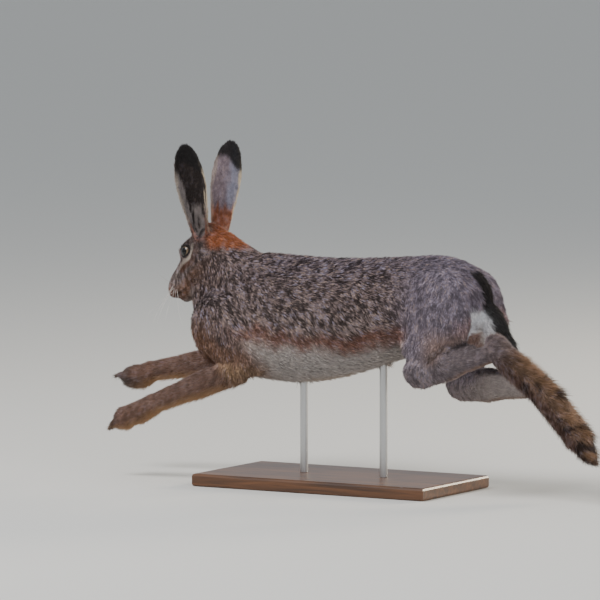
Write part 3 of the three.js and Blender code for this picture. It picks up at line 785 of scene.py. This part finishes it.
def add_tones(tree, shader, value, stops):
    """Base colour by a value: each stop gives a value and its colour."""
    colours = tree.nodes.new("ShaderNodeValToRGB")
    elements = colours.color_ramp.elements
    elements[0].position = stops[0][0]
    elements[1].position = stops[-1][0]
    for position, _ in stops[1:-1]:
        elements.new(position)
    for element, (_, code) in zip(elements, stops):
        element.color = (*rgb(code), 1)
    tree.links.new(value, colours.inputs["Fac"])
    tree.links.new(colours.outputs["Color"], shader.inputs["Base Color"])


def add_bump(tree, shader, value, strength, depth):
    """Fine relief, whose height is a value from 0 to 1."""
    bump = tree.nodes.new("ShaderNodeBump")
    bump.inputs["Strength"].default_value = strength
    bump.inputs["Distance"].default_value = depth
    tree.links.new(value, bump.inputs["Height"])
    tree.links.new(bump.outputs["Normal"], shader.inputs["Normal"])


def coat_material(name, roughness, grain):
    """Fur: the painted markings, broken up by fine streaks, with a soft sheen."""
    material, tree, shader = nodes_of(name)
    tint = tree.nodes.new("ShaderNodeAttribute")
    tint.attribute_name = "tint"
    streaks = object_noise(tree, grain, detail=4)
    shade = tree.nodes.new("ShaderNodeVectorMath")
    shade.operation = "SCALE"
    tree.links.new(tint.outputs["Color"], shade.inputs[0])
    tree.links.new(between(tree, streaks, 0.72, 1.28), shade.inputs["Scale"])
    tree.links.new(shade.outputs["Vector"], shader.inputs["Base Color"])
    add_bump(tree, shader, streaks, 0.5, 0.4 * MM)
    shader.inputs["Roughness"].default_value = roughness
    shader.inputs["Specular IOR Level"].default_value = 0.2
    shader.inputs["Sheen Weight"].default_value = 0.08
    shader.inputs["Sheen Roughness"].default_value = 0.45
    return material


def scatter(skin, kind, count, rng):
    """Roots for tufts of one kind, spread over the skin by how dense its coat is."""
    mesh = skin.data
    places, normals = vertex_places(mesh), vertex_normals(mesh)
    mesh.calc_loop_triangles()
    corners = rows_of(mesh.loop_triangles, "vertices", 3, np.int32)
    loops = rows_of(mesh.loop_triangles, "loops", 3, np.int32)
    a, b, c = (places[corners[:, i]] for i in range(3))
    area = np.linalg.norm(np.cross(b - a, c - a), axis=1) / 2
    centres = (a + b + c) / 3
    weights = bone_weights(centres)
    short = region_share(weights, *SHORT_KINDS)
    share = short if kind is SPIKES else 1 - short
    odds = area * (weights @ COAT_ROWS[:, DENSITY]) * coat_cover(centres) * share
    pick = np.searchsorted(np.cumsum(odds) / odds.sum(), rng.random(count))
    pick = np.minimum(pick, len(odds) - 1)
    u, v = rng.random(count), rng.random(count)
    flip = u + v > 1
    u[flip], v[flip] = 1 - u[flip], 1 - v[flip]
    shares = np.stack([1 - u - v, u, v], axis=1)
    uv = rows_of(mesh.uv_layers["OFBake"].data, "uv", 2)
    roots = np.einsum("nk,nkd->nd", shares, places[corners[pick]])
    ups = unit(np.einsum("nk,nkd->nd", shares, normals[corners[pick]]))
    maps = np.einsum("nk,nkd->nd", shares, uv[loops[pick]])
    return roots, ups, maps


def coat_cover(points):
    """0 where no hair grows, as over the eyes, the nose and the lips, and 1 elsewhere."""
    face = on_head(points)
    _, opening = eye_places(points)
    bare = opening < BARE_EYE
    bare |= np.linalg.norm(face - NOSE_AT, axis=1) < BARE_NOSE
    bare |= line_distance(face, MOUTH_LINE) < BARE_LIPS
    return np.where(bare, 0.0, 1.0)


def coat_meshes(skin, kind, name, material):
    """Tufts of one kind over the skin, in pieces of a limited size, each tuft a closed tapered lock."""
    rng = np.random.default_rng(SEED)
    count = kind["count"]
    roots, ups, maps = scatter(skin, kind, count, rng)
    weights = bone_weights(roots)
    way = lie(roots, ups)
    across = np.cross(ups, way)
    sizes = weights @ COAT_ROWS
    length = sizes[:, LENGTH] * MM * rng.uniform(*LENGTHS, count) * hair_growth(roots, ups, weights)
    width = sizes[:, WIDTH] * MM * rng.uniform(*WIDTHS, count)
    lift = rng.uniform(*kind["lift"], count) * (1 + region_share(weights, "foot"))
    heading = unit(way + across * rng.normal(0, STRAYING, count)[:, None])
    sink = roots - ups * ROOT_DEPTH
    colour, ticking = markings(roots, ups)
    tone = tuft_tones(roots, colour, ticking, rng)
    rings = []
    for share, wide, rise in kind["rings"]:
        up = ups * (length * lift * rise * (0.5 + share / 2))[:, None]
        centre = sink + heading * (length * share)[:, None] + up
        if wide == 0.0:
            rings.append(centre[:, None, :])
            continue
        corners = []
        for angle in np.radians((90, 210, 330)):
            out = across * (width * wide * math.cos(angle))[:, None]
            out = out + ups * (width * wide * FLATNESS * math.sin(angle))[:, None]
            corners.append(centre + out)
        rings.append(np.stack(corners, axis=1))
    vertices = np.concatenate(rings, axis=1)
    order = np.lexsort((roots[:, 0], weights.argmax(axis=1)))
    each = TRIANGLES_A_PIECE // len(kind["faces"])
    pieces = []
    for start in range(0, count, each):
        chosen = order[start : start + each]
        piece_name = f"{name}_{start // each + 1}"
        pieces.append(tuft_piece(piece_name, kind, vertices[chosen], tone[chosen], maps[chosen], material))
    return pieces


def hair_growth(roots, ups, weights):
    """How much longer the hairs are beneath the trunk, forelegs and feet, and shorter on the muzzle."""
    belly = region_share(weights, "chest", "loin", "rump") * ramp(-ups[:, 2], 0.3, 0.9)
    sole = region_share(weights, "foot") * ramp(ups @ SOLE_WAY, 0.1, 0.7)
    muzzle = region_share(weights, "head") * ramp(45 - on_head(roots)[:, 0], 0, 30)
    fore = region_share(weights, "forearm", "forepaw") * ramp(-ups[:, 2], 0.3, 0.9)
    return 1 + 0.35 * belly + 0.6 * sole + 0.7 * fore - 0.4 * muzzle


def tuft_tones(roots, colour, ticking, rng):
    """Root, middle and tip colours of each tuft: a ticked hair is grey, then pale or dark, then black."""
    count = len(roots)
    clump = noise(roots, CLUMP_SIZE, NOISE["clump"])
    spot = noise(roots, SPOT_SIZE, NOISE["spot"])
    value = clump * (1 - SPOT_SHARE) + spot * SPOT_SHARE + rng.normal(0, TICK_SCATTER, count)
    dark = ramp(DARK_UNDER - value, -0.02, 0.09) * ticking
    pale = ramp(value - PALE_OVER, 0.0, 0.12) * ticking
    base = colour * (0.86 + 0.28 * rng.random(count))[:, None]
    base = mixed(base, TONE["ticked_dark"], dark * 0.85)
    cool = (rng.random(count) < COOL_SHARE)[:, None]
    base = mixed(base, np.where(cool, TONE["ticked_cool"], TONE["ticked_pale"]), pale * 0.75)
    tip = mixed(base, TONE["ticked_dark"], 0.35 * ticking * (1 - pale))
    return np.stack([base * ROOT_SHADE, base, tip], axis=1)


def tuft_piece(name, kind, vertices, tone, maps, material):
    """One piece of the coat from its tufts' corners."""
    faces = np.array(kind["faces"])
    count, each = vertices.shape[:2]
    mesh = bpy.data.meshes.new(name)
    corner_count = len(faces) * 3
    mesh.vertices.add(count * each)
    mesh.loops.add(count * corner_count)
    mesh.polygons.add(count * len(faces))
    mesh.vertices.foreach_set("co", vertices.reshape(-1))
    index = (faces.reshape(1, -1) + (np.arange(count) * each)[:, None]).reshape(-1)
    mesh.loops.foreach_set("vertex_index", index.astype(np.int32))
    mesh.polygons.foreach_set("loop_start", np.arange(0, count * corner_count, 3, dtype=np.int32))
    mesh.update(calc_edges=True)
    mesh.polygons.foreach_set("use_smooth", np.ones(count * len(faces), dtype=bool))
    paint(mesh, tone[:, list(kind["tones"])].reshape(-1, 3))
    spread = (np.array(kind["spread"]) - 0.5)[faces.reshape(-1)] * UV_PATCH
    uv = maps[:, None, :] + spread[None, :, :]
    layer = mesh.uv_layers.new(name="OFBake")
    layer.data.foreach_set("uv", np.clip(uv, 0, 1).reshape(-1))
    mesh.materials.append(material)
    mesh.validate()
    return new_piece(name, mesh)


# The eye's colours, from the side of the eyeball to the middle of the pupil, by how far they face its look
EYE_STOPS = [
    (0.30, "1d130c"), (0.46, "1a130e"), (0.60, "4f4032"), (0.72, "786751"), (0.78, "4a3827"),
    (0.81, "030303"), (1.0, "050404"),
]
CORNEA_EDGE = 0.8
CORNEA_RISE = 2.0


def eye_material(name, centre, look):
    """A glossy eye: a dark pupil in an amber-grey iris, darker round its rim."""
    material, tree, shader = nodes_of(name)
    place = tree.nodes.new("ShaderNodeTexCoord")
    off = tree.nodes.new("ShaderNodeVectorMath")
    off.operation = "SUBTRACT"
    off.inputs[1].default_value = centre
    tree.links.new(place.outputs["Object"], off.inputs[0])
    way = tree.nodes.new("ShaderNodeVectorMath")
    way.operation = "NORMALIZE"
    tree.links.new(off.outputs[0], way.inputs[0])
    facing = tree.nodes.new("ShaderNodeVectorMath")
    facing.operation = "DOT_PRODUCT"
    facing.inputs[1].default_value = look
    tree.links.new(way.outputs[0], facing.inputs[0])
    add_tones(tree, shader, facing.outputs["Value"], EYE_STOPS)
    shader.inputs["Roughness"].default_value = 0.3
    shader.inputs["Specular IOR Level"].default_value = 0.05
    shader.inputs["Coat Weight"].default_value = 0.6
    shader.inputs["Coat Roughness"].default_value = 0.02
    return material


def make_eye(side, sign):
    """An eyeball with its cornea standing a little proud."""
    mirror = np.array([1, sign, 1])
    centre = Vector(from_head(*(EYE_AT * mirror)) * MM)
    look = Vector(HEAD_AXES @ (EYE_LOOK * mirror)).normalized()
    clear_selection()
    bpy.ops.mesh.primitive_uv_sphere_add(segments=40, ring_count=24, radius=EYE_RADIUS * MM)
    eye = bpy.context.object
    eye.name = f"eyeball_{side}"
    for vertex in eye.data.vertices:
        facing = vertex.co.normalized().dot(look)
        bulge = max(facing - CORNEA_EDGE, 0) * CORNEA_RISE * MM
        vertex.co = centre + vertex.co + look * bulge
    bpy.ops.object.shade_smooth()
    eye.data.materials.append(eye_material(f"eye_{side}", centre, look))
    return eye


# Claws: the ball of each paw, the tips of its toes and how the toes spread, and a claw's sides and steps,
# its radius at the root and the tip, and how far it leans and curves down, as shares of its length
CLAWS = {
    "forepaw_left": ((-290, -39, 76), (-310, -39, 64), "fore"),
    "forepaw_right": ((-322, 35, 120), (-344, 34, 122), "fore"),
    "foot_left": ((319, -47, 131), (345, -46, 104), "hind"),
    "foot_right": ((311, 43, 75), (330, 42, 47), "hind"),
}
TOES = {
    "fore": {"apart": 5.0, "radius": 4.4, "reach": (0.84, 1, 0.97, 0.82), "claw": 9.0},
    "hind": {"apart": 6.2, "radius": 5.2, "reach": (0.82, 1, 0.98, 0.84), "claw": 11.0},
}
CLAW_SIDES = 7
CLAW_STEPS = 6
CLAW_RADIUS = 1.7
CLAW_TIP = 0.08
CLAW_LEAN = 0.1
CLAW_CURVE = 0.4


def horn_material(name, grain, dark, pale):
    """Smooth horn or stiff hair, spotted in two tones."""
    material, tree, shader = nodes_of(name)
    add_tones(tree, shader, object_noise(tree, grain), [(0, dark), (1, pale)])
    shader.inputs["Roughness"].default_value = 0.35
    return material


def angles(sides):
    """Even turns round a ring."""
    return [2 * math.pi * turn / sides for turn in range(sides)]


def add_tube(vertices, faces, rings):
    """A closed tube through rings of places, added to a mesh's vertices and faces."""
    start, sides, steps = len(vertices), len(rings[0]), len(rings) - 1
    for ring in rings:
        vertices.extend(tuple(place) for place in ring)
    for step in range(steps):
        for turn in range(sides):
            a = start + step * sides + turn
            b = start + step * sides + (turn + 1) % sides
            faces.append((a, b, b + sides, a + sides))
    faces.append(tuple(start + turn for turn in reversed(range(sides))))
    faces.append(tuple(start + steps * sides + turn for turn in range(sides)))


def tube_piece(name, vertices, faces, material):
    """A piece of the scene from the tubes in these lists."""
    mesh = bpy.data.meshes.new(name)
    mesh.from_pydata(vertices, [], faces)
    mesh.materials.append(material)
    return new_piece(name, mesh)


def make_claws(name, ball, tip, toes, material):
    """The four claws of a paw, curved cones that come out from under the fur of the toes."""
    ball, tip = np.array(ball, float), np.array(tip, float)
    way = tip - ball
    length = np.linalg.norm(way)
    way /= length
    palm = np.cross(way, (0, 1, 0))
    palm /= np.linalg.norm(palm)
    side = np.cross(way, palm)
    vertices, faces = [], []
    for i, reach in enumerate(toes["reach"]):
        aside = (i - 1.5) * toes["apart"]
        root = ball + way * (length * reach - toes["radius"] * 0.8) + (0, aside * 1.15, 0)
        rings = []
        for step in range(CLAW_STEPS + 1):
            share = step / CLAW_STEPS
            drop = CLAW_LEAN * share + CLAW_CURVE * share**2
            centre = root + way * toes["claw"] * share + palm * toes["claw"] * drop
            radius = CLAW_RADIUS * (1 - share) ** 0.7 + CLAW_TIP
            outs = [side * 0.75 * math.cos(angle) + palm * math.sin(angle) for angle in angles(CLAW_SIDES)]
            rings.append([(centre + out * radius) * MM for out in outs])
        add_tube(vertices, faces, rings)
    return tube_piece(name, vertices, faces, material)


# Whiskers, in millimetres: where on the head's own axes they grow, how thick and long they are, and how far
# one with a reach of 50 sags
PAD_BACK = (6, 20)
PAD_ASIDE = 12.5
PAD_UP = (-11, 0)
WHISKERS_A_SIDE = 12
WHISKER_SIDES = 4
WHISKER_STEPS = 8
WHISKER_RADIUS = 0.25
WHISKER_REACH = (34, 72)
WHISKER_SAG = np.array([10, 0, -7])
SAG_REACH = 50


def make_whiskers(material):
    """Long stiff hairs from the whisker pads, swept back and drooping a little."""
    rng = np.random.default_rng(SEED + 1)
    vertices, faces = [], []
    for sign in (-1, 1):
        for _ in range(WHISKERS_A_SIDE):
            root = np.array([rng.uniform(*PAD_BACK), sign * PAD_ASIDE, rng.uniform(*PAD_UP)])
            out = np.array([rng.uniform(-0.6, 0.5), sign * rng.uniform(0.5, 1.0), rng.uniform(-0.9, 0.1)])
            out /= np.linalg.norm(out)
            reach = rng.uniform(*WHISKER_REACH)
            rings = []
            for step in range(WHISKER_STEPS + 1):
                share = step / WHISKER_STEPS
                centre = root + out * reach * share + WHISKER_SAG * share**2 * reach / SAG_REACH
                radius = WHISKER_RADIUS * min(1, 0.35 + 3 * share) * (1 - 0.8 * share)
                offs = [np.array([math.cos(angle), 0, math.sin(angle)]) for angle in angles(WHISKER_SIDES)]
                rings.append([from_head(*(centre + off * radius)) * MM for off in offs])
            add_tube(vertices, faces, rings)
    return tube_piece("whiskers", vertices, faces, material)


def wood_material():
    """Dark satin wood with long grain."""
    material, tree, shader = nodes_of("dark_wood")
    grain = object_noise(tree, 3, detail=8, stretch=(3, 40, 40))
    grain.node.inputs["Distortion"].default_value = 1.2
    add_tones(tree, shader, grain, [(0.3, "3a2314"), (0.7, "6d4526")])
    add_bump(tree, shader, grain, 0.15, 0.5 * MM)
    shader.inputs["Roughness"].default_value = 0.42
    shader.inputs["Coat Weight"].default_value = 0.2
    return material


def steel_material():
    """Brushed steel."""
    material, tree, shader = nodes_of("satin_steel")
    grain = object_noise(tree, 60, stretch=(1, 1, 60))
    tree.links.new(between(tree, grain, 0.24, 0.42), shader.inputs["Roughness"])
    shader.inputs["Base Color"].default_value = (0.55, 0.55, 0.55, 1)
    shader.inputs["Metallic"].default_value = 1
    return material


def set_material(piece, material):
    """Gives a piece one material."""
    piece.data.materials.clear()
    piece.data.materials.append(material)


# The camera, and the room: its floor, its sky, and its lamps by place, width, power and colour
CAMERA_AROUND = math.radians(30)
CAMERA_ABOVE = math.radians(5)
CAMERA_AWAY = 8.333
CAMERA_TARGET = Vector((-0.058, 0.0, 0.232))
CAMERA_LENS = 400
CAMERA_SENSOR = 36
CAMERA_REACH = 60
FLOOR_WIDTH = 40
FLOOR_COLOUR = (0.62, 0.62, 0.6, 1)
SKY_COLOUR = (0.86, 0.9, 0.94, 1)
SKY_STRENGTH = 0.62
LAMPS = {
    "key": ((-0.8, -1.6, 2.6), 1.4, 84, (1.0, 0.97, 0.95)),
    "fill": ((2.2, -1.2, 1.2), 2.0, 18, (0.88, 0.93, 1.0)),
    "rim": ((1.3, 2.4, 0.9), 0.9, 70, (1.0, 0.86, 0.66)),
}
LAMPS_AIM = Vector((0, 0, 0.2))


def make_camera():
    """A long lens from behind the hare's left side, a little above it."""
    data = bpy.data.cameras.new("camera")
    data.lens = CAMERA_LENS
    data.sensor_width = CAMERA_SENSOR
    data.clip_end = CAMERA_REACH
    camera = bpy.data.objects.new("camera", data)
    bpy.context.scene.collection.objects.link(camera)
    level = math.cos(CAMERA_ABOVE)
    aside, ahead = math.sin(CAMERA_AROUND) * level, math.cos(CAMERA_AROUND) * level
    back = Vector((aside, -ahead, math.sin(CAMERA_ABOVE)))
    camera.location = CAMERA_TARGET + back * CAMERA_AWAY
    camera.rotation_euler = back.to_track_quat("Z", "Y").to_euler()
    bpy.context.scene.camera = camera


def make_light(name, place, width, power, colour):
    """A soft lamp that looks at the hare."""
    data = bpy.data.lights.new(name, "AREA")
    data.shape = "DISK"
    data.size = width
    data.energy = power
    data.color = colour
    lamp = bpy.data.objects.new(name, data)
    lamp.location = place
    lamp.rotation_euler = (Vector(place) - LAMPS_AIM).to_track_quat("Z", "Y").to_euler()
    bpy.context.scene.collection.objects.link(lamp)


def make_room():
    """A plain pale floor and soft light from above."""
    clear_selection()
    bpy.ops.mesh.primitive_plane_add(size=FLOOR_WIDTH)
    floor = bpy.context.object
    floor.name = "floor"
    material, _, shader = nodes_of("floor")
    shader.inputs["Base Color"].default_value = FLOOR_COLOUR
    shader.inputs["Roughness"].default_value = 0.9
    set_material(floor, material)
    world = bpy.data.worlds.new("room")
    bpy.context.scene.world = world
    world.use_nodes = True
    sky = world.node_tree.nodes["Background"]
    sky.inputs["Color"].default_value = SKY_COLOUR
    sky.inputs["Strength"].default_value = SKY_STRENGTH
    for name, (place, width, power, colour) in LAMPS.items():
        make_light(name, place, width, power, colour)


make_camera()
make_room()

skin = make_skin()
unwrap(skin)
skin_places = vertex_places(skin.data)
skin_colour, skin_ticking = markings(skin_places, vertex_normals(skin.data))
skin_tones = tuft_tones(skin_places, skin_colour, skin_ticking, np.random.default_rng(SEED))
paint(skin.data, skin_tones[:, 1] * SKIN_SHADE)
set_material(skin, coat_material("skin", 0.85, 700))
activate(skin)
bpy.ops.object.shade_smooth()
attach(skin, BODY)
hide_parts(*flesh_names())

coat_look = coat_material("coat", 0.75, 500)
for tuft_kind, coat_name in ((LOCKS, "coat_long"), (SPIKES, "coat_short")):
    for coat in coat_meshes(skin, tuft_kind, coat_name, coat_look):
        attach(coat, BODY)

for side_name, side_sign in (("left", -1), ("right", 1)):
    eyeball = make_eye(side_name, side_sign)
    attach(eyeball, BODY)
    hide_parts(f"eye_{side_name}")

horn = horn_material("claw", 300, "1d1612", "5a463a")
for paw_name, (paw_ball, paw_tip, paw_kind) in CLAWS.items():
    claws = make_claws(f"claws_{paw_name}", paw_ball, paw_tip, TOES[paw_kind], horn)
    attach(claws, BODY)

hairs = make_whiskers(horn_material("whisker", 60, "b5aca2", "f6f3ee"))
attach(hairs, BODY)

set_material(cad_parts["stand_base"], wood_material())
steel = steel_material()
for node_name in ("stand_rod_front", "stand_rod_rear"):
    set_material(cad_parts[node_name], steel)
